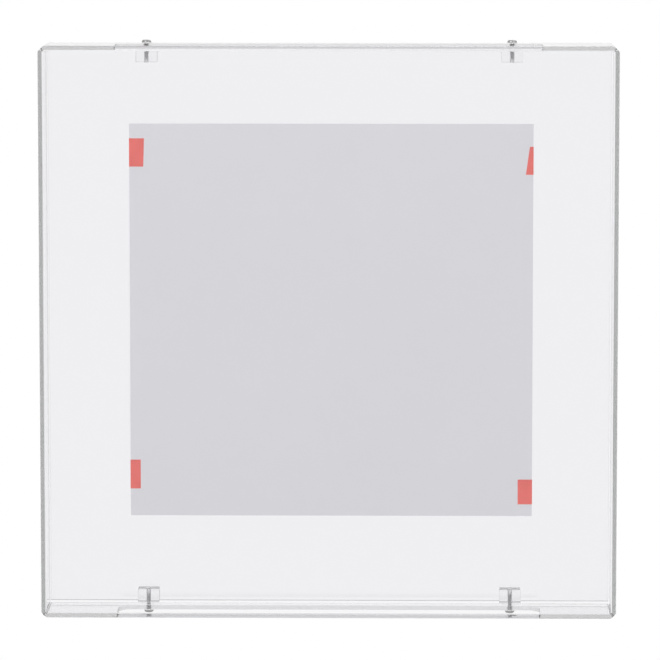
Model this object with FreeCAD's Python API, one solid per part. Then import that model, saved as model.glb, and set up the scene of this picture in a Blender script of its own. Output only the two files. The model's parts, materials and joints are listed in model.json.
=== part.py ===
import FreeCAD, Part
import math
import os

Vector = FreeCAD.Vector
ACROSS = Vector(1, 0, 0)
BACK = Vector(0, 1, 0)
UP = Vector(0, 0, 1)

# All lengths are in millimetres. The origin is the centre of the back panel's rear face,
# which lies on the wall. X runs to the right, Y into the wall and Z up.

# Front cover: one clear sheet whose four edges are bent back into flaps
cover_width = 400.0
cover_height = 398.0
cover_depth = 49.5
sheet_thickness = 3.0
bend_inner_radius = 1.0
corner_chamfer = 4.0
corner_seam = 0.8
wall_clearance = 0.5

# Window in the top flap and in the bottom flap
window_width = 295.0
window_lip = 5.0
window_depth = 33.0
window_rear_radius = 10.0
window_front_radius = 1.5

# Back panel: a clear plate that is screwed to the wall
panel_thickness = 3.0
edge_break = 0.3
side_clearance = 0.5
hang_clearance = 0.1
bottom_clearance = 1.9

# Holes for the four wall screws, countersunk from the front
wall_hole_diameter = 4.5
wall_sink_diameter = 9.0
wall_hole_spacing_x = 200.0
wall_hole_spacing_z = 200.0

# Clear blocks on the panel, which the cover's screws go into
block_width = 15.0
block_depth = 10.0
block_height = 10.0
block_spacing = 254.0

# Screws, and the thin washers under their heads
screw_diameter = 3.0
screw_length = 12.0
screw_tip_chamfer = 0.4
head_diameter = 6.6
head_height = 1.8
head_rim = 0.4
head_flat_diameter = 3.4
head_bulge_share = 0.78
socket_across_flats = 2.0
socket_depth = 1.0
washer_diameter = 7.0
washer_thickness = 0.5
thread_clearance = 0.05
washer_clearance = 0.1
slot_clearance = 0.2
clamp_clearance = 0.1

# Picture sheet and the tape tabs folded round its side edges
picture_width = 282.0
picture_height = 276.0
picture_thickness = 0.3
picture_shift = 1.3
picture_rise = 3.8
tape_thickness = 0.12
tab_length = 20.0
tab_reach = 10.4
tab_back_reach = 8.0

# One row per tab: side, height of its middle as a share of the picture's height, its length as a
# share of tab_length, and its reach at the top and at the bottom as shares of tab_reach
tab_shares = {
    "top_left": (-1, 0.427, 0.988, 1.0, 0.94),
    "top_right": (1, 0.407, 0.978, 0.24, 0.5),
    "bottom_left": (-1, -0.394, 1.023, 0.68, 0.68),
    "bottom_right": (1, -0.438, 0.876, 0.96, 0.96),
}

# Every cut runs past the faces that it opens by this much
overrun = 1.0

# Sizes that follow from those above
bend_outer_radius = bend_inner_radius + sheet_thickness
cover_rear_y = -wall_clearance
cover_front_y = cover_rear_y - cover_depth
panel_width = cover_width - 2 * (sheet_thickness + side_clearance)
panel_height = cover_height - 2 * sheet_thickness - hang_clearance - bottom_clearance
cover_top_z = panel_height / 2 + hang_clearance + sheet_thickness
cover_bottom_z = cover_top_z - cover_height
panel_front_y = -panel_thickness
screw_y = panel_front_y - block_depth / 2
head_radius = head_diameter / 2
screw_radius = screw_diameter / 2
slot_radius = screw_radius + slot_clearance

corners = {
    "top_left": (-1, 1),
    "top_right": (1, 1),
    "bottom_left": (-1, -1),
    "bottom_right": (1, -1),
}


def box(low, high):
    """A box between two opposite corners."""
    size = high - low
    return Part.makeBox(size.x, size.y, size.z, low)


def edges_on_face(solid, y):
    """The edges of a solid that lie in the plane at y."""
    flat = 1e-6
    return [e for e in solid.Edges if all(abs(v.Y - y) < flat for v in e.Vertexes)]


def rounded_plate(low_x, low_y, high_x, high_y, front_radius, rear_radius, z, height):
    """A flat prism with two radii: one at its front corners and one at its rear corners."""
    plan = box(Vector(low_x, low_y, z), Vector(high_x, high_y, z + height))
    uprights = [e for e in plan.Edges if abs(e.Vertexes[0].Z - e.Vertexes[1].Z) > height / 2]
    middle_y = (low_y + high_y) / 2
    rear = [e for e in uprights if e.Vertexes[0].Y > middle_y]
    plan = plan.makeFillet(rear_radius, rear)
    uprights = [e for e in plan.Edges if abs(e.Vertexes[0].Z - e.Vertexes[-1].Z) > height / 2]
    front = [e for e in uprights if e.Vertexes[0].Y < low_y + front_radius / 2]
    return plan.makeFillet(front_radius, front)


def bent_tray():
    """The folded sheet before it is cut: an outer form less an inner one, rounded at the bends."""
    half = cover_width / 2
    outer = box(Vector(-half, cover_front_y, cover_bottom_z), Vector(half, cover_rear_y, cover_top_z))
    outer = outer.makeFillet(bend_outer_radius, edges_on_face(outer, cover_front_y))
    inner_front_y = cover_front_y + sheet_thickness
    inner = box(
        Vector(-half + sheet_thickness, inner_front_y, cover_bottom_z + sheet_thickness),
        Vector(half - sheet_thickness, cover_rear_y + overrun, cover_top_z - sheet_thickness),
    )
    inner = inner.makeFillet(bend_inner_radius, edges_on_face(inner, inner_front_y))
    return outer.cut(inner)


def corner_cut(side, level):
    """What is cut away at one corner: a diagonal off the outside, and the seam between two flaps."""
    x = side * cover_width / 2
    z = cover_top_z if level > 0 else cover_bottom_z
    run = cover_depth + 2 * overrun
    start_y = cover_front_y - overrun
    tip = [
        Vector(x + side * overrun, start_y, z + level * overrun),
        Vector(x + side * overrun, start_y, z - level * (corner_chamfer + overrun)),
        Vector(x - side * (corner_chamfer + overrun), start_y, z + level * overrun),
    ]
    chamfer = Part.Face(Part.makePolygon(tip + tip[:1])).extrude(BACK * run)
    seam_front_y = cover_front_y + bend_outer_radius
    seam_run = cover_rear_y + overrun - seam_front_y
    reach = sheet_thickness + bend_inner_radius + overrun
    seam = Part.makeBox(corner_seam, seam_run, 2 * reach)
    seam.translate(Vector(-corner_seam / 2, seam_front_y, -reach))
    seam.rotate(Vector(0, 0, 0), BACK, side * level * 45)
    seam.translate(Vector(x, 0, z))
    return chamfer.fuse(seam)


def flap_window(low_z):
    """The long window in the top or bottom flap, with wide radii at the wall side."""
    half = window_width / 2
    front_y = cover_front_y + window_lip
    return rounded_plate(
        -half,
        front_y,
        half,
        front_y + window_depth,
        window_front_radius,
        window_rear_radius,
        low_z - overrun,
        sheet_thickness + 2 * overrun,
    )


def screw_slot(x, low_z):
    """A slot for one screw, open at the flap's rear edge, so that the cover slides on past it."""
    height = sheet_thickness + 2 * overrun
    base = low_z - overrun
    end = Part.makeCylinder(slot_radius, height, Vector(x, screw_y, base), UP)
    run = box(
        Vector(x - slot_radius, screw_y, base),
        Vector(x + slot_radius, cover_rear_y + overrun, base + height),
    )
    return end.fuse(run)


def front_cover():
    solid = bent_tray()
    cuts = [corner_cut(side, level) for side, level in corners.values()]
    for low_z in (cover_bottom_z, cover_top_z - sheet_thickness):
        cuts.append(flap_window(low_z))
        for side in (-1, 1):
            cuts.append(screw_slot(side * block_spacing / 2, low_z))
    return solid.cut(cuts).removeSplitter()


def back_panel():
    """The panel, with its edges eased and four countersunk holes behind the picture."""
    half_x, half_z = panel_width / 2, panel_height / 2
    solid = box(Vector(-half_x, panel_front_y, -half_z), Vector(half_x, 0, half_z))
    solid = solid.makeChamfer(edge_break, solid.Edges)
    hole_radius = wall_hole_diameter / 2
    sink_radius = wall_sink_diameter / 2
    sink_depth = sink_radius - hole_radius
    cuts = []
    for side, level in corners.values():
        x, z = side * wall_hole_spacing_x / 2, level * wall_hole_spacing_z / 2
        start = Vector(x, panel_front_y - overrun, z)
        cuts.append(Part.makeCylinder(hole_radius, panel_thickness + 2 * overrun, start, BACK))
        cone_depth = sink_depth + overrun
        cuts.append(Part.makeCone(sink_radius + overrun, hole_radius, cone_depth, start, BACK))
    return solid.cut(cuts)


def block(side, level):
    """One clear block at the panel's edge, bored through for its screw."""
    x = side * block_spacing / 2
    outer_z = level * panel_height / 2
    inner_z = outer_z - level * block_height
    low_z, high_z = sorted((outer_z, inner_z))
    solid = box(
        Vector(x - block_width / 2, panel_front_y - block_depth, low_z),
        Vector(x + block_width / 2, panel_front_y, high_z),
    )
    solid = solid.makeChamfer(edge_break, solid.Edges)
    bore_radius = screw_radius + thread_clearance
    run = block_height + 2 * overrun
    return solid.cut(Part.makeCylinder(bore_radius, run, Vector(x, screw_y, low_z - overrun), UP))


def seat_z(level):
    """Height of a washer's seat: the outside of the flap, and the small gap over it."""
    face_z = cover_top_z if level > 0 else cover_bottom_z
    return face_z + level * clamp_clearance


def place(solid, side, level, z):
    """Turn a piece that points up so that it points out of its flap, and move it to its screw hole."""
    if level < 0:
        solid.rotate(Vector(0, 0, 0), ACROSS, 180)
    solid.translate(Vector(side * block_spacing / 2, screw_y, z))
    return solid


def washer(side, level):
    ring = Part.makeCylinder(washer_diameter / 2, washer_thickness, Vector(0, 0, 0), UP)
    hole_radius = screw_radius + washer_clearance
    start = Vector(0, 0, -overrun)
    ring = ring.cut(Part.makeCylinder(hole_radius, washer_thickness + 2 * overrun, start, UP))
    return place(ring, side, level, seat_z(level))


def screw(side, level):
    """A screw with a low domed head: a turned profile, with a six-sided socket in its crown."""
    tip_z = -screw_length
    flat_radius = head_flat_diameter / 2
    dome_z = head_height - head_rim
    middle = Vector(
        flat_radius + (head_radius - flat_radius) * math.sqrt(1 - head_bulge_share**2),
        0,
        head_rim + dome_z * head_bulge_share,
    )
    crown = Part.Arc(Vector(head_radius, 0, head_rim), middle, Vector(flat_radius, 0, head_height))
    shank = Part.makePolygon(
        [
            Vector(0, 0, head_height),
            Vector(0, 0, tip_z),
            Vector(screw_radius - screw_tip_chamfer, 0, tip_z),
            Vector(screw_radius, 0, tip_z + screw_tip_chamfer),
            Vector(screw_radius, 0, 0),
            Vector(head_radius, 0, 0),
            Vector(head_radius, 0, head_rim),
        ]
    )
    top = Part.makeLine(Vector(flat_radius, 0, head_height), Vector(0, 0, head_height))
    outline = Part.Wire(shank.Edges + [crown.toShape(), top])
    solid = Part.Face(outline).revolve(Vector(0, 0, 0), UP, 360)
    corner_radius = socket_across_flats / math.sqrt(3)
    socket_floor_z = head_height - socket_depth
    points = []
    for i in range(6):
        turn = i * math.pi / 3
        across, along = corner_radius * math.cos(turn), corner_radius * math.sin(turn)
        points.append(Vector(across, along, socket_floor_z))
    hexagon = Part.Face(Part.makePolygon(points + points[:1]))
    solid = solid.cut(hexagon.extrude(UP * (socket_depth + overrun)))
    return place(solid, side, level, seat_z(level) + level * washer_thickness)


def picture_rear_y():
    """The sheet stands off the panel by the tape that is folded behind it."""
    return panel_front_y - tape_thickness


def picture_sheet():
    rear_y = picture_rear_y()
    half_x, half_z = picture_width / 2, picture_height / 2
    return box(
        Vector(picture_shift - half_x, rear_y - picture_thickness, picture_rise - half_z),
        Vector(picture_shift + half_x, rear_y, picture_rise + half_z),
    )


def tape_tab(side, height_share, length_share, top_share, bottom_share):
    """A strip of tape folded round the sheet's side edge: a front leg, a fold and a rear leg."""
    edge_x = picture_shift + side * picture_width / 2
    fold_x = edge_x + side * tape_thickness
    middle_z = picture_rise + height_share * picture_height
    half = length_share * tab_length / 2
    front_y = picture_rear_y() - picture_thickness - tape_thickness
    leg = [
        Vector(fold_x, front_y, middle_z + half),
        Vector(fold_x, front_y, middle_z - half),
        Vector(edge_x - side * bottom_share * tab_reach, front_y, middle_z - half),
        Vector(edge_x - side * top_share * tab_reach, front_y, middle_z + half),
    ]
    front = Part.Face(Part.makePolygon(leg + leg[:1])).extrude(BACK * tape_thickness)
    low_x, high_x = sorted((edge_x, fold_x))
    fold = box(Vector(low_x, front_y, middle_z - half), Vector(high_x, panel_front_y, middle_z + half))
    low_x, high_x = sorted((edge_x - side * tab_back_reach, fold_x))
    rear = box(
        Vector(low_x, panel_front_y - tape_thickness, middle_z - half),
        Vector(high_x, panel_front_y, middle_z + half),
    )
    return front.fuse([fold, rear]).removeSplitter()


def build():
    """Every piece by its name."""
    pieces = {
        "front_cover": front_cover(),
        "back_panel": back_panel(),
        "picture_sheet": picture_sheet(),
    }
    for name, (side, level) in corners.items():
        pieces["block_" + name] = block(side, level)
        pieces["screw_" + name] = screw(side, level)
        pieces["washer_" + name] = washer(side, level)
        pieces["tape_tab_" + name] = tape_tab(*tab_shares[name])
    return pieces


os.makedirs("parts", exist_ok=True)
for name, shape in build().items():
    solids = shape.Solids
    print(name, len(solids), "solid,", round(shape.Volume), "mm3, valid:", shape.isValid())
    piece = solids[0] if len(solids) == 1 else Part.makeCompound(solids)
    piece.exportStep("parts/" + name + ".step")
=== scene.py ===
# %% [markdown]
# # A clear box frame in Blender
#
# The object is a picture frame made almost wholly of clear acrylic: a folded front cover, a flat
# back panel, four small blocks, and four steel screws with washers. A sheet of paper is taped
# inside. The shapes come packed from CAD, as one object for each piece, in metres. This lesson
# dresses them. Clear things are hard to show, because almost all that is seen of them is their
# edges, so most of the work goes into edges, absorption and what lies behind the sheets.

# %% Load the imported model
import json
import math

import bmesh
import bpy
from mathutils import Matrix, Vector


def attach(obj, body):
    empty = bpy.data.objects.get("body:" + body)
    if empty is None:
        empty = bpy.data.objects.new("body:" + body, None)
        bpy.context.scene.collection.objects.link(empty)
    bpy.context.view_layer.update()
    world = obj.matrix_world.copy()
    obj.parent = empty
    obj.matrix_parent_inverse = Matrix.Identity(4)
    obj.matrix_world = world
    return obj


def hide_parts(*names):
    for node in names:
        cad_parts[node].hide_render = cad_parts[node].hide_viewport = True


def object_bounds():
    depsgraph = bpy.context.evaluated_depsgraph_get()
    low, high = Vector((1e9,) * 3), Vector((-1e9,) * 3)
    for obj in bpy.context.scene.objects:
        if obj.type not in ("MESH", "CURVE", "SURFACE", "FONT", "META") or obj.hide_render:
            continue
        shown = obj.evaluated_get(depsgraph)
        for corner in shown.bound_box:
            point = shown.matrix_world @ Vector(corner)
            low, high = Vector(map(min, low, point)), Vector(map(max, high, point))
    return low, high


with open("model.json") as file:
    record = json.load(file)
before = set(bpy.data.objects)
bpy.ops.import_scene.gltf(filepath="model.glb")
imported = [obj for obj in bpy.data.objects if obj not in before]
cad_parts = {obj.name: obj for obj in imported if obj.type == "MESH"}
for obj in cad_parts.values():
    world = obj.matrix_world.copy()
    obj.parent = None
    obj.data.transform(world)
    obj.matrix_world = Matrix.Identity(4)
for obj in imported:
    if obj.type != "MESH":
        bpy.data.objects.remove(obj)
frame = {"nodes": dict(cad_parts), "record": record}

MM = 0.001
cad_low, cad_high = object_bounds()
record = frame["record"]
body_of = {node: body for body, nodes in record["behaviour"]["bodies"].items() for node in nodes}
corners = ("top_left", "top_right", "bottom_left", "bottom_right")
print("pieces", len(frame["nodes"]), "box in mm", [round(v / MM, 1) for v in cad_high - cad_low])

# %% [markdown]
# ## The camera
#
# The frame is seen from straight ahead and a little above its middle, through a long lens from
# far away, so its sides stay nearly parallel and the flaps show as thin bands. The camera could
# be placed by eye, but its angle, distance and lens here come from a fit to the frame's corners.

# %% Camera
camera_azimuth = math.radians(0.89)
camera_elevation = math.radians(6.47)
camera_distance = 3.231
camera_lens_mm = 251.3
camera_sensor_mm = 36
camera_aim = Vector((0.4, 0, -3.3)) * MM

to_camera = Vector(
    (
        math.sin(camera_azimuth) * math.cos(camera_elevation),
        -math.cos(camera_azimuth) * math.cos(camera_elevation),
        math.sin(camera_elevation),
    )
)
camera = bpy.data.objects.new("camera", bpy.data.cameras.new("camera"))
bpy.context.scene.collection.objects.link(camera)
camera.data.sensor_width = camera_sensor_mm
camera.data.lens = camera_lens_mm
camera.location = camera_aim + to_camera * camera_distance
camera.rotation_mode = "QUATERNION"
camera.rotation_quaternion = (-to_camera).to_track_quat("-Z", "Y")
bpy.context.scene.camera = camera
bpy.context.scene.view_settings.view_transform = "Standard"
print("camera at", [round(v, 3) for v in camera.location])

# %% [markdown]
# ## Sums on sockets
#
# A material is a tree of nodes, and most of that tree is arithmetic. It could be built as rows of
# Math nodes, but written as Python sums it is shorter and easier to read. The class below wraps
# one output socket: a sum on it adds the Math node and gives back that node's output.

# %% A socket that can be used in sums
class Socket:
    """A node's output. +, - and * on it add Math nodes to its tree."""

    def __init__(self, tree, socket=None):
        self.tree = tree
        self.socket = socket

    def node(self, kind, settings=None, inputs=None, output=0):
        """Adds any node: its settings first, then values or other Sockets for its inputs."""
        made = self.tree.nodes.new(kind)
        for name, value in (settings or {}).items():
            setattr(made, name, value)
        for key, value in (inputs or {}).items():
            if isinstance(value, Socket):
                self.tree.links.new(value.socket, made.inputs[key])
            else:
                made.inputs[key].default_value = value
        return Socket(self.tree, made.outputs[output] if made.outputs else None)

    def maths(self, operation, *values):
        """Adds one Math node."""
        return self.node("ShaderNodeMath", {"operation": operation}, dict(enumerate(values)))

    def __add__(self, other):
        return self.maths("ADD", self, other)

    def __sub__(self, other):
        return self.maths("SUBTRACT", self, other)

    def __rsub__(self, other):
        return self.maths("SUBTRACT", other, self)

    def __mul__(self, other):
        return self.maths("MULTIPLY", self, other)

    __radd__ = __add__
    __rmul__ = __mul__


# %% Helpers that both the backdrop and the materials use
def new_material(name):
    """An empty material, and the place on the surface to start its tree from, in metres."""
    material = bpy.data.materials.new(name)
    material.use_nodes = True
    material.node_tree.nodes.clear()
    return material, Socket(material.node_tree).node("ShaderNodeTexCoord", None, None, "Object")


def ramp(value, low, high):
    """0 up to low, 1 from high on, and smooth between them."""
    settings = {"interpolation_type": "SMOOTHSTEP"}
    inputs = {"Value": value, "From Min": low, "From Max": high}
    return value.node("ShaderNodeMapRange", settings, inputs)


def between(value, low, high):
    """Goes from low to high as value goes from 0 to 1."""
    return value * (high - low) + low


def either(first, second):
    """The larger of two masks."""
    return first.maths("MAXIMUM", first, second)


def drawn_out(place, x, y, z):
    """The place with its axes scaled, which draws a texture out along the axis scaled least."""
    return place.node("ShaderNodeMapping", None, {"Vector": place, "Scale": (x, y, z)})


def length_of(place):
    """How far a place lies from the origin."""
    return place.node("ShaderNodeVectorMath", {"operation": "LENGTH"}, {0: place}, "Value")


# %% [markdown]
# ## Backdrop, floor and lamps
#
# A clear sheet shows what is behind it, so the backdrop matters more here than any lamp. The
# world is plain white to rays that see it straight, mirrored or through the acrylic, and dimmer
# to the rays that light things, so that paper and tape aren't washed out. The Light Path node
# tells these rays apart. The floor lies below the frame, takes its faint shadow near by, and
# runs out into the same white further off. A picture of a room could stand behind instead, but
# it would show through every sheet and hide the edges.

# %% World
world_light = 0.55
seen_light = 1.0
white = (1, 1, 1, 1)


def ray_is(start, kind):
    """1 for rays of one kind, and 0 for the rest."""
    return start.node("ShaderNodeLightPath", None, None, f"Is {kind} Ray")


def seen_rays(start):
    """1 for the rays that see a thing, by eye, in a mirror or through glass, and 0 for the rest."""
    seen = either(ray_is(start, "Camera"), ray_is(start, "Glossy"))
    return either(seen, ray_is(start, "Transmission"))


world = bpy.data.worlds.new("studio")
bpy.context.scene.world = world
world.use_nodes = True
world.node_tree.nodes.clear()
start = Socket(world.node_tree)
strength = between(seen_rays(start), world_light, seen_light)
sky = start.node("ShaderNodeBackground", None, {"Color": white, "Strength": strength})
start.node("ShaderNodeOutputWorld", None, {"Surface": sky})
print("world light", world_light, "for what it falls on and", seen_light, "where it is seen")

# %% Floor
floor_drop = 0.30
floor_radius = 9.0
floor_sides = 96
shadow_reach = 0.55
floor_paint = (0.86, 0.86, 0.86, 1)

floor_mesh = bmesh.new()
bmesh.ops.create_circle(floor_mesh, cap_ends=True, segments=floor_sides, radius=floor_radius)
floor_data = bpy.data.meshes.new("floor")
floor_mesh.to_mesh(floor_data)
floor_mesh.free()
floor = bpy.data.objects.new("floor", floor_data)
floor.location.z = cad_low.z - floor_drop
bpy.context.scene.collection.objects.link(floor)

material, place = new_material("pale floor")
paint = place.node("ShaderNodeBsdfDiffuse", None, {"Color": floor_paint})
glow = place.node("ShaderNodeEmission")
away = ramp(length_of(drawn_out(place, 1, 1, 0)), shadow_reach, 2 * shadow_reach)
far = away * seen_rays(place)
surface = place.node("ShaderNodeMixShader", None, {0: far, 1: paint, 2: glow})
place.node("ShaderNodeOutputMaterial", None, {"Surface": surface})
floor_data.materials.append(material)
print("floor at", round(floor.location.z, 3))


# %% Lamps
def lamp(name, place, size, watts):
    """A soft square lamp that faces the frame's middle. No sheet shows it as a bright patch."""
    light = bpy.data.lights.new(name, "AREA")
    light.size = size
    light.energy = watts
    holder = bpy.data.objects.new(name, light)
    holder.location = place
    holder.rotation_mode = "QUATERNION"
    holder.rotation_quaternion = (-Vector(place)).to_track_quat("-Z", "Y")
    holder.visible_transmission = False
    bpy.context.scene.collection.objects.link(holder)
    print(name, "is", round(Vector(place).length, 2), "m away")


lamp("key lamp", place=(-1.5, -2.2, 2.0), size=1.6, watts=48)
lamp("fill lamp", place=(2.2, -1.8, 0.9), size=1.8, watts=20)
lamp("back lamp", place=(0.6, 2.4, 1.8), size=1.6, watts=12)

# %% How far a ray is followed
bounce_limit = 32

limits = bpy.context.scene.cycles
limits.max_bounces = bounce_limit
limits.transmission_bounces = bounce_limit
limits.transparent_max_bounces = bounce_limit
limits.glossy_bounces = bounce_limit // 2
print("faces that a ray may pass", limits.transmission_bounces)

# %% [markdown]
# ## Sizes, read from the frame
#
# Marks such as saw lines belong on some faces and not on others. They could be painted on an
# unwrapped picture of each piece. A mask is lighter: it tells those faces by their place alone,
# once it knows how big the pieces are and where they stand. Nearly all of that is measured here
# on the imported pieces. Only the windows' places are typed, because a box doesn't show them.

# %% Where things are
def box_of(node):
    """The lowest and the highest corner of a CAD node's box."""
    spots = [vertex.co for vertex in frame["nodes"][node].data.vertices]
    low = Vector(min(spot[i] for spot in spots) for i in range(3))
    high = Vector(max(spot[i] for spot in spots) for i in range(3))
    return low, high


cover_low, cover_high = box_of("front_cover")
panel_low, panel_high = box_of("back_panel")
block_low, block_high = box_of("block_top_left")
screw_low, screw_high = box_of("screw_top_left")
washer_low, washer_high = box_of("washer_top_left")
sheet = panel_high.y - panel_low.y
cover_middle_z = (cover_low.z + cover_high.z) / 2
cover_half_height = (cover_high.z - cover_low.z) / 2
block_half_width = (block_high.x - block_low.x) / 2
block_half_height = (block_high.z - block_low.z) / 2
block_middle_z = (block_high.z + block_low.z) / 2
screw_spread = abs(screw_low.x + screw_high.x) / 2
screw_y = (screw_low.y + screw_high.y) / 2
screw_pitch = 2 * math.pi / abs(record["behaviour"]["couplings"][0]["ratio"])
window_half = 147.5 * MM
window_front_y = -45 * MM
window_rear_y = -12 * MM
print("screws at x", round(screw_spread / MM, 2), "y", round(screw_y / MM, 2))
print("sheet", round(sheet / MM, 2), "mm, rise for each turn", round(screw_pitch / MM, 3), "mm")

# %% [markdown]
# ## Clear acrylic
#
# Cast acrylic bends light like glass (its index is 1.49) and takes a little of it: hardly any
# through 3 mm, but a good part along the 50 mm of a flap. A tint on the surface would darken
# every sheet alike, so most of the colour is put inside, as Volume Absorption, and the edges turn
# grey by themselves. Cut faces are another matter. The side flaps' rear edges are as the saw left
# them and pass much less light, and the walls of the windows and slots show a cutter's marks.
# What hands and cloths leave on such sheets comes last: faint smears and hair-fine scratches.
# Lamps can't shine through a bent ray. So the rays that carry their light, and those that bounce
# off paper or tape, meet a Transparent shader instead.

# %% What acrylic is like
acrylic_index = 1.49
sheet_absorption = 9.4
block_absorption = 2.0
sheet_skin = (0.956, 0.954, 0.966, 1)
block_skin = (0.985, 0.985, 0.99, 1)
milled_skin = (0.80, 0.80, 0.81, 1)
planed_skin = (0.50, 0.50, 0.52, 1)
sawn_skin = (0.42, 0.43, 0.43, 1)
scraped_skin = (0.34, 0.34, 0.355, 1)
polish_roughness = 0.012
smear_roughness = 0.042
scratch_depth = 0.0012 * MM
tool_mark_depth = 0.012 * MM
for way, length in (("through a sheet", sheet), ("along a flap", cover_high.y - cover_low.y)):
    print("light left", way, round(math.exp(-sheet_absorption * length), 3))


# %% Textures, mixing and bumps
def noise(place, waves_per_metre, detail=3.0, roughness=0.5):
    """A cloudy value from 0 to 1."""
    inputs = {"Vector": place, "Scale": waves_per_metre, "Detail": detail, "Roughness": roughness}
    return place.node("ShaderNodeTexNoise", None, inputs)


def mixed(mask, first, second):
    """A colour that goes from first to second as mask goes from 0 to 1."""
    return mask.node("ShaderNodeMix", {"data_type": "RGBA"}, {0: mask, 6: first, 7: second}, 2)


def bump(height, depth, strength=1.0):
    """A normal that tilts as a surface would whose height goes from 0 to depth, in metres."""
    inputs = {"Height": height, "Distance": depth, "Strength": strength}
    return height.node("ShaderNodeBump", None, inputs)


def fine_scratches(place, waves_per_metre, turn):
    """Hair-fine straight lines that run one way, here and there."""
    turned_place = place.node("ShaderNodeMapping", None, {"Vector": place, "Rotation": turn})
    lines = noise(drawn_out(turned_place, 1, 1, 0.004), waves_per_metre, detail=1)
    patches = ramp(noise(place, waves_per_metre=22), low=0.5, high=0.7)
    return ramp(lines, low=0.66, high=0.7) * patches


# %% The acrylic material
def acrylic(name, taken_per_metre, cuts):
    """Clear stock. cuts gives, for a place, the skin's colour, the tool marks and the added roughness."""
    material, place = new_material(name)
    smears = ramp(noise(place, waves_per_metre=16, detail=4), low=0.5, high=0.8)
    roughness = between(smears, polish_roughness, smear_roughness)
    first_lines = fine_scratches(place, waves_per_metre=900, turn=(0.3, 0.5, 0))
    other_lines = fine_scratches(place, waves_per_metre=700, turn=(1.2, -0.6, 0.4))
    skin, marks, added = cuts(place)
    height = marks - (first_lines + other_lines) * (scratch_depth / tool_mark_depth)
    glass_inputs = {
        "Base Color": skin,
        "IOR": acrylic_index,
        "Transmission Weight": 1.0,
        "Roughness": roughness + added,
        "Normal": bump(height, tool_mark_depth),
    }
    glass = place.node("ShaderNodeBsdfPrincipled", None, glass_inputs)
    clear = place.node("ShaderNodeBsdfTransparent")
    lighting = either(ray_is(place, "Shadow"), ray_is(place, "Diffuse"))
    surface = place.node("ShaderNodeMixShader", None, {0: lighting, 1: glass, 2: clear})
    absorbing = {"Color": (0, 0, 0, 1), "Density": taken_per_metre}
    inside = place.node("ShaderNodeVolumeAbsorption", None, absorbing)
    place.node("ShaderNodeOutputMaterial", None, {"Surface": surface, "Volume": inside})
    return material


# %% Masks
def axis_of(place, number):
    """The x, y or z of a place."""
    return place.node("ShaderNodeSeparateXYZ", None, {0: place}, number)


def absolute(value):
    """A value without its sign."""
    return value.maths("ABSOLUTE", value)


def near(value, half, softness=0.15 * MM):
    """1 where value lies between -half and half."""
    return 1 - ramp(absolute(value), half - softness, half)


def past(value, start, softness=0.2 * MM):
    """1 where value is above start."""
    return ramp(value, start - softness, start)


# %% The cover's cut faces
bend_end_y = cover_low.y + 4.2 * MM
in_flap = sheet / 2 - 0.12 * MM
beside_window = window_half + 0.3 * MM
wall_margin = 1 * MM
rear_edge_depth = 0.6 * MM
cut_roughness = 0.12
frosted_roughness = 0.38


def cover_cuts(place):
    """The cover's cut faces are the only ones that lie inside a flap's thickness."""
    x, y, z = (axis_of(place, number) for number in range(3))
    behind_bend = past(y, bend_end_y)
    level = near(absolute(z - cover_middle_z) - (cover_half_height - sheet / 2), in_flap)
    side = near(absolute(x) - (cover_high.x - sheet / 2), in_flap)
    window = near(x, beside_window) * (1 - past(y, window_rear_y + wall_margin))
    wall = level * window * behind_bend
    front_wall = wall * (1 - past(y, window_front_y + wall_margin))
    rear_wall = wall * past(y, window_rear_y - wall_margin)
    rear_edge = side * past(y, cover_high.y - rear_edge_depth)
    skin = mixed(wall, sheet_skin, milled_skin)
    skin = mixed(front_wall, skin, planed_skin)
    skin = mixed(rear_edge, skin, sawn_skin)
    cut = either(level, side) * behind_bend
    teeth = noise(drawn_out(place, 1, 1, 0.05), waves_per_metre=1700, detail=2)
    return skin, teeth * cut, cut * cut_roughness + rear_wall * frosted_roughness


# %% The panel's edges
panel_edge_depth = 0.25 * MM
panel_edge_roughness = 0.1


def panel_cuts(place):
    """The panel's sides are milled, its top and bottom planed, and fine lines run along them all."""
    x, z = axis_of(place, 0), axis_of(place, 2)
    side = past(absolute(x), panel_high.x - panel_edge_depth)
    level = past(absolute(z), panel_high.z - panel_edge_depth)
    edge = either(side, level)
    skin = mixed(level, mixed(side, sheet_skin, milled_skin), planed_skin)
    lines = noise(drawn_out(place, 0.02, 1, 0.02), waves_per_metre=2600, detail=2)
    return skin, lines * edge, edge * panel_edge_roughness


# %% The blocks' bores and sides
bore_reach = 1.75 * MM
block_side_depth = 0.06 * MM
block_softness = 0.05 * MM
bore_roughness = 0.45
scraped_roughness = 0.07
scrape_share = 0.4


def from_screw(place):
    """How far a place lies from the nearest screw's axis: to the right, and towards the wall."""
    x, y = axis_of(place, 0), axis_of(place, 1)
    return x - x.maths("SIGN", x) * screw_spread, y - screw_y


def radius_of(across, along):
    """The distance that two offsets make."""
    return length_of(across.node("ShaderNodeCombineXYZ", None, {0: across, 1: along}))


def thread_phase(across, along, z):
    """Rises from 0 to 1 with each turn of a right-hand thread."""
    turn = along.maths("ARCTAN2", along, across) * (1 / (2 * math.pi))
    rise = z * (1 / screw_pitch) - turn * z.maths("SIGN", z)
    return rise.maths("FRACT", rise)


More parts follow.
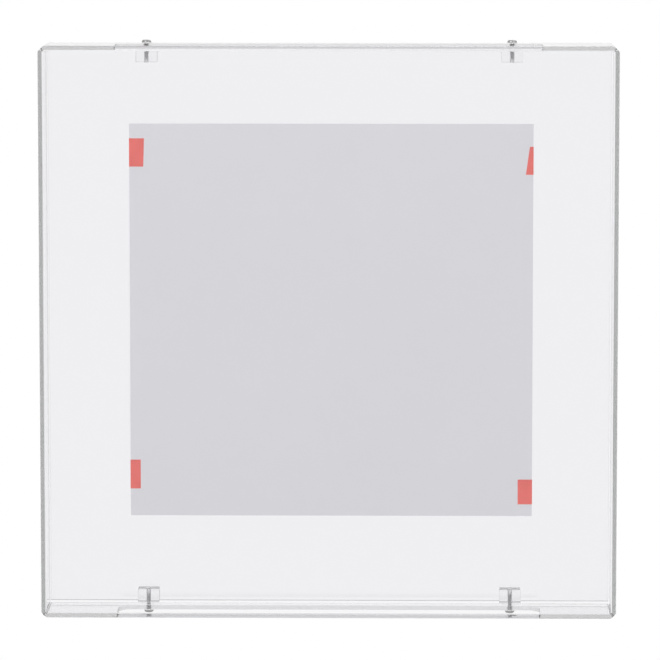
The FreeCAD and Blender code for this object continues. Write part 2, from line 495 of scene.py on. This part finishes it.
def block_cuts(place):
    """The bores are tapped, and all sides but the front and the back are scraped."""
    across, along = from_screw(place)
    z = axis_of(place, 2)
    bore = 1 - past(radius_of(across, along), bore_reach)
    ridge = absolute(thread_phase(across, along, z) - 0.5) * 2
    from_middle = absolute(absolute(z) - block_middle_z)
    end = past(absolute(across), block_half_width - block_side_depth, block_softness)
    level = past(from_middle, block_half_height - block_side_depth, block_softness)
    side = either(end, level)
    lines = noise(drawn_out(place, 1, 1, 0.03), waves_per_metre=1500, detail=2)
    skin = mixed(bore, mixed(side, block_skin, scraped_skin), milled_skin)
    marks = ridge * bore + lines * side * scrape_share
    return skin, marks, bore * bore_roughness + side * scraped_roughness


# %% Helpers for shapes
corner_weld = 0.001 * MM
flat_angle = math.radians(0.5)
sharp_angle = math.radians(30)


def joined_shape(node):
    """A bmesh of a CAD node's exact shape, with its split corners joined and its flats made whole."""
    mesh = bmesh.new()
    mesh.from_mesh(frame["nodes"][node].data)
    bmesh.ops.remove_doubles(mesh, verts=mesh.verts, dist=corner_weld)
    bmesh.ops.dissolve_limit(mesh, angle_limit=flat_angle, verts=mesh.verts, edges=mesh.edges)
    return mesh


def ease_edges(mesh, width):
    """Rounds every sharp edge by a small width, so that it can catch the light."""
    bmesh.ops.bevel(
        mesh,
        geom=[edge for edge in mesh.edges if edge.calc_face_angle(0) > sharp_angle],
        offset=width,
        segments=2,
        profile=0.5,
        affect="EDGES",
        clamp_overlap=True,
    )


def new_piece(mesh, name, material, node, smooth_to=40):
    """A piece that stands for a CAD node, hides that node and rides on its body."""
    bmesh.ops.recalc_face_normals(mesh, faces=mesh.faces)
    data = bpy.data.meshes.new(name)
    mesh.to_mesh(data)
    mesh.free()
    data.materials.append(material)
    for face in data.polygons:
        face.use_smooth = True
    data.set_sharp_from_angle(angle=math.radians(smooth_to))
    piece = bpy.data.objects.new(name, data)
    bpy.context.scene.collection.objects.link(piece)
    even = piece.modifiers.new("even shading", "WEIGHTED_NORMAL")
    even.keep_sharp = True
    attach(piece, body_of[node])
    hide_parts(node)
    print(name, "has", len(data.polygons), "faces")


# %% [markdown]
# ## Cover and panel
#
# On the real object the cover is one sheet, cut flat with its windows and slots and then bent
# along four heated lines. It could be built again from a flat sheet, but the CAD piece has that
# exact shape, so this one starts as a copy of it. What the CAD lacks is the soft edge that
# scraping and handling give. A tenth or two of a millimetre is enough: it catches a thin line of
# light along every cut. The panel's edges are broken in the CAD shape already.

# %% Cover and panel
cover_ease = 0.15 * MM

cover_mesh = joined_shape("front_cover")
ease_edges(cover_mesh, cover_ease)
cover_material = acrylic("clear cover", sheet_absorption, cover_cuts)
new_piece(cover_mesh, "cover_sheet", cover_material, "front_cover")
panel_material = acrylic("clear panel", sheet_absorption, panel_cuts)
new_piece(joined_shape("back_panel"), "panel_sheet", panel_material, "back_panel")

# %% [markdown]
# ## Blocks
#
# Each block is a short length of thick clear bar, drilled, tapped and cemented to the panel. Two
# clear solids that touch face to face confuse a ray, which can't tell whether it has left one or
# entered the other. The two could be made one mesh, but each must stay a piece of its own, so the
# block's rear face stands two hundredths of a millimetre off the panel.

# %% Blocks
cement_gap = 0.02 * MM
rear_face_depth = 0.01 * MM
block_ease = 0.12 * MM

block_material = acrylic("clear blocks", block_absorption, block_cuts)
for corner in corners:
    block_mesh = joined_shape("block_" + corner)
    rear = max(vertex.co.y for vertex in block_mesh.verts)
    for vertex in block_mesh.verts:
        if vertex.co.y > rear - rear_face_depth:
            vertex.co.y -= cement_gap
    ease_edges(block_mesh, block_ease)
    new_piece(block_mesh, "clear_block_" + corner, block_material, "block_" + corner)

# %% [markdown]
# ## Screws
#
# The CAD screw has a plain shank, because a thread is a surface detail there. A bump could hint
# at one, but the blocks are clear and the thread shows against the light, so here it is real: a
# profile with flat roots and crests, swept along a helix of 48 steps a turn, and flattened at
# both ends. The pitch comes from the record, which says how far a screw rises for each turn. The
# head is a turned profile in the same 48 steps, and in its socket the rings become six-sided.

# %% Turned shapes
steps_round = 48
seam_weld = 0.002 * MM


def turned(mesh, spot, rows):
    """Skins rows of (radius, height). A radius may be a function of the angle."""
    rings = []
    for radius, height in rows:
        ring = []
        for step in range(steps_round):
            angle = 2 * math.pi * step / steps_round
            reach = radius(angle) if callable(radius) else radius
            ring.append(mesh.verts.new(spot(reach, angle, height)))
        rings.append(ring)
    for lower, upper in zip(rings, rings[1:]):
        for step in range(steps_round):
            after = (step + 1) % steps_round
            mesh.faces.new((lower[step], lower[after], upper[after], upper[step]))


def spot_finder(corner, under_head):
    """Gives points round a screw's axis, in heights outwards from its washer's outer or inner face."""
    low, high = box_of("washer_" + corner)
    outwards = 1 if corner.startswith("top") else -1
    start_z = high.z if under_head == (outwards > 0) else low.z
    x = (low.x + high.x) / 2

    def spot(radius, angle, height):
        across, along = radius * math.cos(angle), radius * math.sin(angle)
        return Vector((x + across, screw_y + outwards * along, start_z + outwards * height))

    return spot


# %% Thread
crest_radius = 1.49 * MM
root_radius = 1.19 * MM
shoulder_radius = 1.34 * MM
tip_radius = 1.05 * MM
neck_length = 0.1 * MM
run_out = 0.9 * MM
shank_length = washer_high.z - screw_low.z

# Each row has a share of the pitch and the radius there
thread_profile = (
    (0, root_radius),
    (0.25, root_radius),
    (0.5625, crest_radius),
    (0.6875, crest_radius),
)
print("shank", round(shank_length / MM, 2), "turns", round(shank_length / screw_pitch, 1))


def threaded_shank(mesh, spot):
    """A helical ribbon with two root points and two crest points in each pitch."""
    columns = []
    last_step = round((shank_length / screw_pitch + 1) * steps_round)
    for step in range(-steps_round, last_step + 1):
        angle = 2 * math.pi * step / steps_round
        column = []
        for phase, radius in thread_profile:
            height = screw_pitch * (step / steps_round + phase) - shank_length
            height = min(max(height, -shank_length), 0)
            radius = min(radius, tip_radius + height + shank_length)
            fade = min(max((-height - neck_length) / run_out, 0), 1)
            radius = shoulder_radius + (radius - shoulder_radius) * fade
            column.append(mesh.verts.new(spot(radius, angle, height)))
        columns.append(column)
    for step in range(len(columns) - 1):
        here, there = columns[step], columns[step + 1]
        for point in range(len(thread_profile) - 1):
            mesh.faces.new((here[point], there[point], there[point + 1], here[point + 1]))
        if step + steps_round + 1 < len(columns):
            above, beyond = columns[step + steps_round], columns[step + steps_round + 1]
            mesh.faces.new((here[-1], there[-1], beyond[0], above[0]))


# %% Head
head_radius = (screw_high.x - screw_low.x) / 2
head_height = screw_high.z - washer_high.z
rim_ease = 0.07 * MM
rim_height = 0.4 * MM
crown_radius = 1.7 * MM
dome_steps = 12
socket_half = 1.0 * MM
socket_depth = 1.0 * MM
socket_lead_in = 0.12 * MM
socket_mouth = 1.2 * socket_half
drill_point_share = 0.3
drill_point_depth = 0.1 * MM
print("head", round(2 * head_radius / MM, 2), "wide and", round(head_height / MM, 2), "high")


def socket(angle):
    """The radius of a hexagon at an angle."""
    sixth = math.pi / 3
    return socket_half / math.cos((angle % sixth) - sixth / 2)


def drill_point(angle):
    """The smaller hexagon that the socket's floor sinks to."""
    return drill_point_share * socket(angle)


def screw_head(mesh, spot):
    """A flat underside, a short rim, a dome, and a socket from the crown down."""
    rows = [
        (shoulder_radius, 0),
        (head_radius - rim_ease, 0),
        (head_radius, rim_ease),
        (head_radius, rim_height),
    ]
    for step in range(1, dome_steps + 1):
        turn = step / dome_steps * math.pi / 2
        reach = crown_radius + (head_radius - crown_radius) * math.cos(turn)
        rows.append((reach, rim_height + (head_height - rim_height) * math.sin(turn)))
    socket_floor = head_height - socket_depth
    rows += [
        (socket_mouth, head_height),
        (socket, head_height - socket_lead_in),
        (socket, socket_floor),
        (drill_point, socket_floor - drill_point_depth),
    ]
    turned(mesh, spot, rows)


# %% [markdown]
# ## Steel
#
# The screws are turned on a lathe, so the marks run round the axis, and handling has left faint
# stains. One even metal would do for a far view. Here the thread is painted brighter than the head:
# this is painted light, standing for the light that the thread gathers from all round its clear
# block. Both are one material, which tells the head by its distance from the axis.

# %% Steel
head_reach = 1.65 * MM
# Painted light: the thread's steel is lighter than the head's, for the light it gathers from its clear
# block
painted_light_thread_steel = (0.62, 0.62, 0.63, 1)
clean_steel = (0.34, 0.34, 0.345, 1)
stained_steel = (0.25, 0.245, 0.24, 1)
lathe_mark_depth = 0.004 * MM
mark_roughness = 0.1
ring_width_share = 0.3


def coated(material, place, **inputs):
    """One Principled shader for the whole material. Input names have _ for a space."""
    named = {name.replace("_", " "): value for name, value in inputs.items()}
    surface = place.node("ShaderNodeBsdfPrincipled", None, named)
    place.node("ShaderNodeOutputMaterial", None, {"Surface": surface})
    return material


def steel():
    """Turned steel: the thread painted brighter as painted light, the head duller and stained."""
    material, place = new_material("turned steel")
    radius = radius_of(*from_screw(place))
    rings = place.node("ShaderNodeCombineXYZ", None, {0: radius, 1: axis_of(place, 2) * ring_width_share})
    marks = noise(rings, waves_per_metre=14000, detail=2)
    stains = noise(place, waves_per_metre=900)
    head = mixed(ramp(stains, low=0.35, high=0.75), clean_steel, stained_steel)
    colour = mixed(past(radius, head_reach), painted_light_thread_steel, head)
    roughness = between(stains, low=0.16, high=0.34) + marks * mark_roughness
    normal = bump(marks, lathe_mark_depth)
    return coated(material, place, Base_Color=colour, Metallic=1.0, Roughness=roughness, Normal=normal)


# %% Four screws
steel_material = steel()
for corner in corners:
    mesh = bmesh.new()
    spot = spot_finder(corner, under_head=True)
    threaded_shank(mesh, spot)
    screw_head(mesh, spot)
    bmesh.ops.remove_doubles(mesh, verts=mesh.verts, dist=seam_weld)
    open_edges = [edge for edge in mesh.edges if edge.is_boundary]
    bmesh.ops.holes_fill(mesh, edges=open_edges, sides=0)
    print("edges left open", sum(edge.is_boundary for edge in mesh.edges))
    new_piece(mesh, "threaded_screw_" + corner, steel_material, "screw_" + corner, smooth_to=30)

# %% [markdown]
# ## Washers
#
# A thin ring of white nylon keeps each head from marking the flap. It is punched from sheet, so
# its outer edge is a little round, and more so on the side of the head. A plain tube would look
# the same from far off. The ring is a hair thinner than the CAD one, because two faces in one
# plane, its own and the head's, would show as a flicker.

# %% Washers
hole_radius = 1.6 * MM
washer_radius = (washer_high.x - washer_low.x) / 2
head_gap = 0.01 * MM
washer_thickness = washer_high.z - washer_low.z - head_gap
round_edge = 0.12 * MM
nylon_shade = (0.86, 0.86, 0.84, 1)
nylon_light = (0.93, 0.93, 0.92, 1)
nylon_grain_depth = 0.01 * MM

washer_rows = [
    (hole_radius, 0),
    (washer_radius - round_edge / 3, 0),
    (washer_radius, round_edge / 3),
    (washer_radius, washer_thickness - round_edge),
    (washer_radius - round_edge * 0.3, washer_thickness - round_edge * 0.3),
    (washer_radius - round_edge, washer_thickness),
    (hole_radius, washer_thickness),
    (hole_radius, 0),
]


def nylon():
    """White nylon, slightly cloudy and finely grained."""
    material, place = new_material("white nylon")
    cloud = noise(place, waves_per_metre=1200)
    colour = mixed(cloud, nylon_shade, nylon_light)
    roughness = between(cloud, low=0.3, high=0.5)
    normal = bump(noise(place, waves_per_metre=5200, detail=2), nylon_grain_depth)
    return coated(material, place, Base_Color=colour, Roughness=roughness, Normal=normal)


nylon_material = nylon()
for corner in corners:
    mesh = bmesh.new()
    turned(mesh, spot_finder(corner, under_head=False), washer_rows)
    bmesh.ops.remove_doubles(mesh, verts=mesh.verts, dist=seam_weld)
    new_piece(mesh, "nylon_washer_" + corner, nylon_material, "washer_" + corner)

# %% [markdown]
# ## The sheet of paper
#
# A sheet that is taped at its sides is never quite flat. It could be let sag as a cloth, but the
# sag of stiff paper is small and simple enough for a formula: this one bows forwards by a third
# of a millimetre, with a slow wave in it. That is too little to see as a shape, but it keeps the
# tone from being dead even. Fibres show as a faint cloud in the colour and the surface.

# %% The sheet's shape
paper_low, paper_high = box_of("picture_sheet")
paper_bow = 0.35 * MM
paper_wave = 0.12 * MM
paper_squares = 48


def hump(share):
    """0 at both ends, where share is 0 or 1, and 1 in the middle."""
    return 4 * share * (1 - share)


def swell(share, waves, start):
    """A sine that runs through a number of waves as share goes from 0 to 1."""
    return math.sin(2 * math.pi * waves * share + start)


def paper_place(column, row, depth):
    """A point on the sheet. depth is 0 at the front and 1 at the back."""
    u, v = column / paper_squares, row / paper_squares
    x = paper_low.x + (paper_high.x - paper_low.x) * u
    y = paper_low.y + (paper_high.y - paper_low.y) * depth
    z = paper_low.z + (paper_high.z - paper_low.z) * v
    rise = hump(u) * hump(v)
    wave = swell(u, waves=1.15, start=0.7) * swell(v, waves=0.8, start=0.4) * rise
    return Vector((x, y - paper_bow * rise - paper_wave * wave, z))


paper_mesh = bmesh.new()
steps = range(paper_squares + 1)
layers = []
for depth in (0, 1):
    rows = [[paper_mesh.verts.new(paper_place(i, row, depth)) for i in steps] for row in steps]
    layers.append(rows)
    for lower, upper in zip(rows, rows[1:]):
        for i in range(paper_squares):
            paper_mesh.faces.new((lower[i], lower[i + 1], upper[i + 1], upper[i]))
front, back = layers
for i in range(paper_squares):
    for end in (0, paper_squares):
        level = front[end][i], front[end][i + 1], back[end][i + 1], back[end][i]
        side = front[i][end], front[i + 1][end], back[i + 1][end], back[i][end]
        paper_mesh.faces.new(level)
        paper_mesh.faces.new(side)

# %% Paper
paper_shade = (0.645, 0.642, 0.675, 1)
paper_light = (0.69, 0.687, 0.718, 1)
fibre_share = 0.4
fibre_depth = 0.02 * MM


def paper():
    """Uncoated grey paper."""
    material, place = new_material("grey paper")
    cloud = noise(place, waves_per_metre=9)
    fibres = noise(drawn_out(place, 1, 1, 0.35), waves_per_metre=1500, detail=4, roughness=0.7)
    tone = cloud * (1 - fibre_share) + fibres * fibre_share
    colour = mixed(tone, paper_shade, paper_light)
    roughness = between(fibres, low=0.65, high=0.85)
    normal = bump(fibres, fibre_depth, strength=0.5)
    return coated(material, place, Base_Color=colour, Roughness=roughness, Normal=normal)


new_piece(paper_mesh, "paper_sheet", paper(), "picture_sheet")

# %% [markdown]
# ## Tape
#
# Four strips of red tape, some of them cut aslant, fold over the sheet's edges. They could be
# modelled anew, but the CAD tabs have the right outlines and folds, so they stay as they are and
# only take a material: a crinkled film with a faint crepe, a little darker where it has been
# rubbed down.

# %% Tape
tape_red = (0.79, 0.12, 0.10, 1)
rubbed_red = (0.71, 0.10, 0.082, 1)
crepe_depth = 0.03 * MM


def tape():
    """Red tape with fine wrinkles."""
    material, place = new_material("red tape")
    crepe = noise(drawn_out(place, 1, 1, 0.12), waves_per_metre=1500)
    rubbed = noise(place, waves_per_metre=160)
    colour = mixed(ramp(rubbed, low=0.3, high=0.7), tape_red, rubbed_red)
    roughness = between(rubbed, low=0.32, high=0.57)
    normal = bump(crepe, crepe_depth, strength=0.6)
    return coated(material, place, Base_Color=colour, Roughness=roughness, Normal=normal)


tape_material = tape()
for corner in corners:
    data = frame["nodes"]["tape_tab_" + corner].data
    data.materials.clear()
    data.materials.append(tape_material)
print("tabs that took the tape", len(corners))
